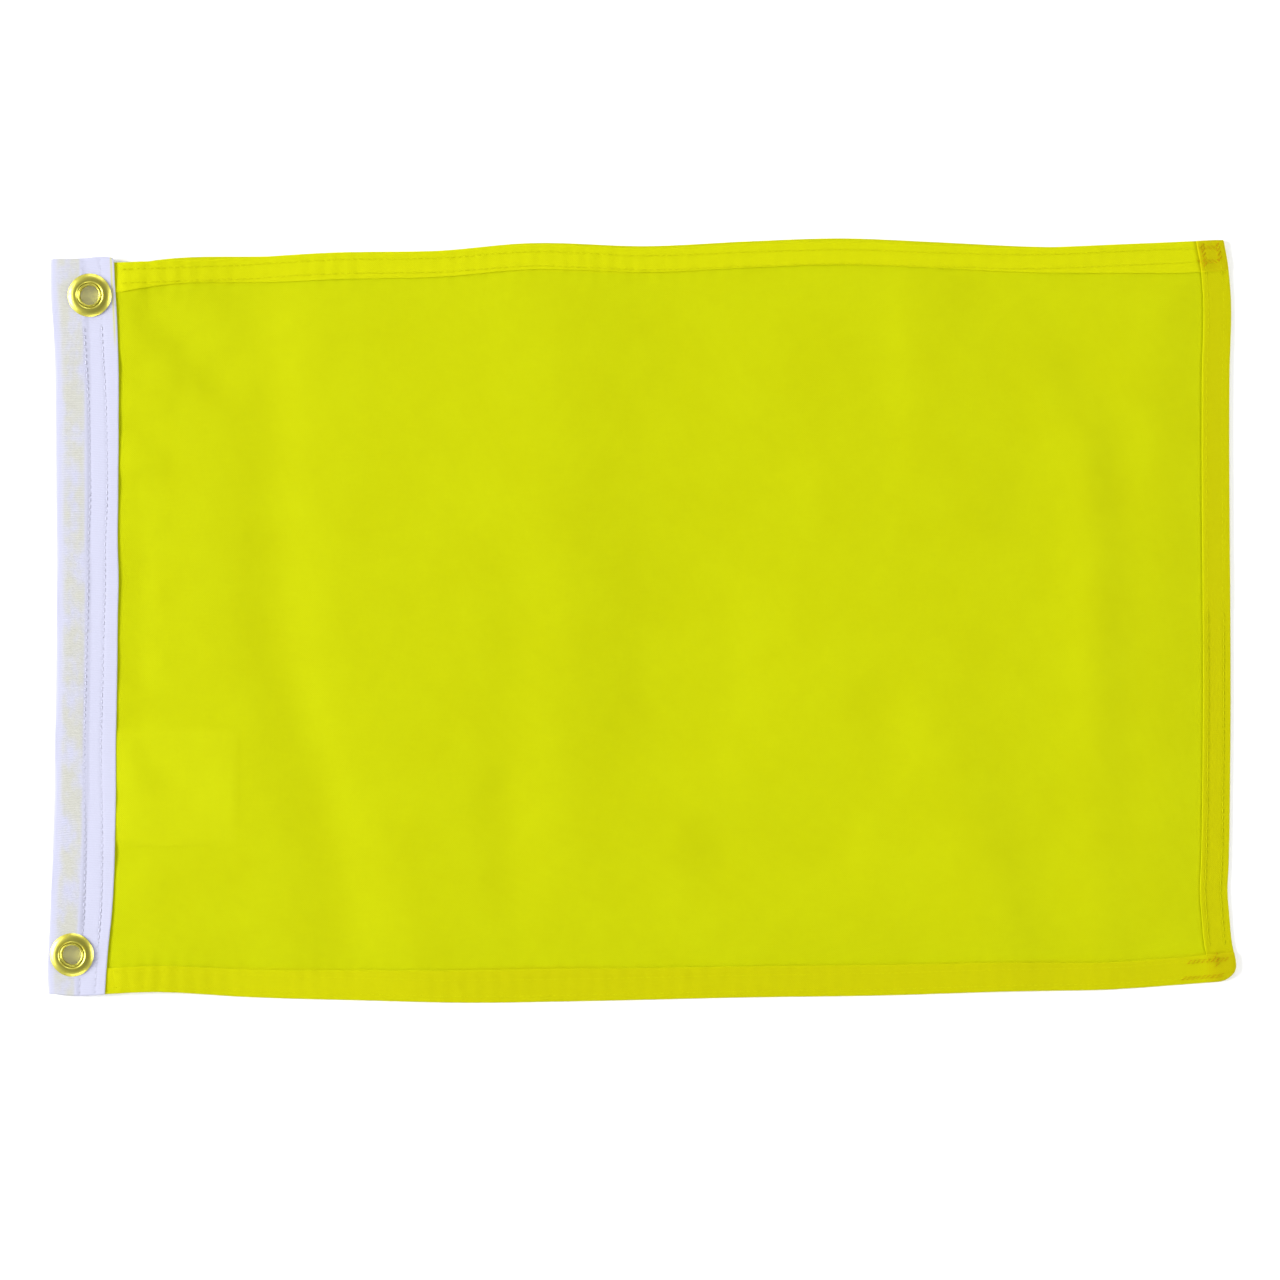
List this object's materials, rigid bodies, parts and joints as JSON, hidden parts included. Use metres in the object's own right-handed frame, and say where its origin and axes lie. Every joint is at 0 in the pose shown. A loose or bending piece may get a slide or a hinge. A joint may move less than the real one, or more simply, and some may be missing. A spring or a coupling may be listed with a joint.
{
  "type": "hemmed flag with a grommeted heading",
  "caption": "Plain rectangular flag lying flat: hemmed yellow cloth sewn into a white folded heading with brass grommets.",
  "frame": {"origin": "on the surface that the flag lies on, under the middle of the flag", "axes": "+X along the fly, away from the heading; +Y up the hoist; +Z off the surface, out of the side that the hems are turned to"},
  "size_m": [0.4826, 0.305, 0.0043],
  "materials": {
    "field_fabric": "plain woven synthetic, yellow with a green tinge",
    "heading_fabric": "bluish white canvas",
    "webbing_fabric": "cream woven webbing",
    "label_fabric": "blank white satin tape",
    "grommet_brass": "pressed and polished sheet brass",
    "heading_thread": "white sewing thread",
    "hem_thread": "yellow sewing thread",
    "tack_thread": "amber sewing thread"
  },
  "bodies": {
    "heading": {"field_root": "field_fabric", "heading_canvas": "heading_fabric", "heading_inner_bobbin_thread": "heading_thread", "heading_inner_needle_thread": "heading_thread", "heading_outer_bobbin_thread": "heading_thread", "heading_outer_needle_thread": "heading_thread", "heading_webbing": "webbing_fabric", "label": "label_fabric", "lower_eyelet": "grommet_brass", "lower_washer": "grommet_brass", "upper_eyelet": "grommet_brass", "upper_washer": "grommet_brass"},
    "field": {"bottom_hem_inner_bobbin_thread": "hem_thread", "bottom_hem_inner_needle_thread": "hem_thread", "bottom_hem_outer_bobbin_thread": "hem_thread", "bottom_hem_outer_needle_thread": "hem_thread", "field_cloth": "field_fabric", "fly_hem_inner_bobbin_thread": "hem_thread", "fly_hem_inner_needle_thread": "hem_thread", "fly_hem_outer_bobbin_thread": "hem_thread", "fly_hem_outer_needle_thread": "hem_thread", "lower_corner_tack_thread": "tack_thread", "top_hem_inner_bobbin_thread": "hem_thread", "top_hem_inner_needle_thread": "hem_thread", "top_hem_outer_bobbin_thread": "hem_thread", "top_hem_outer_needle_thread": "hem_thread", "upper_corner_tack_thread": "tack_thread"}
  },
  "joints": [
    {"name": "field_swing", "type": "hinge", "parent": "heading", "child": "field", "pos_m": [-0.2009, 0, 0.00204], "axis": [0, -1, 0], "range_deg": [0, 90]}
  ]
}
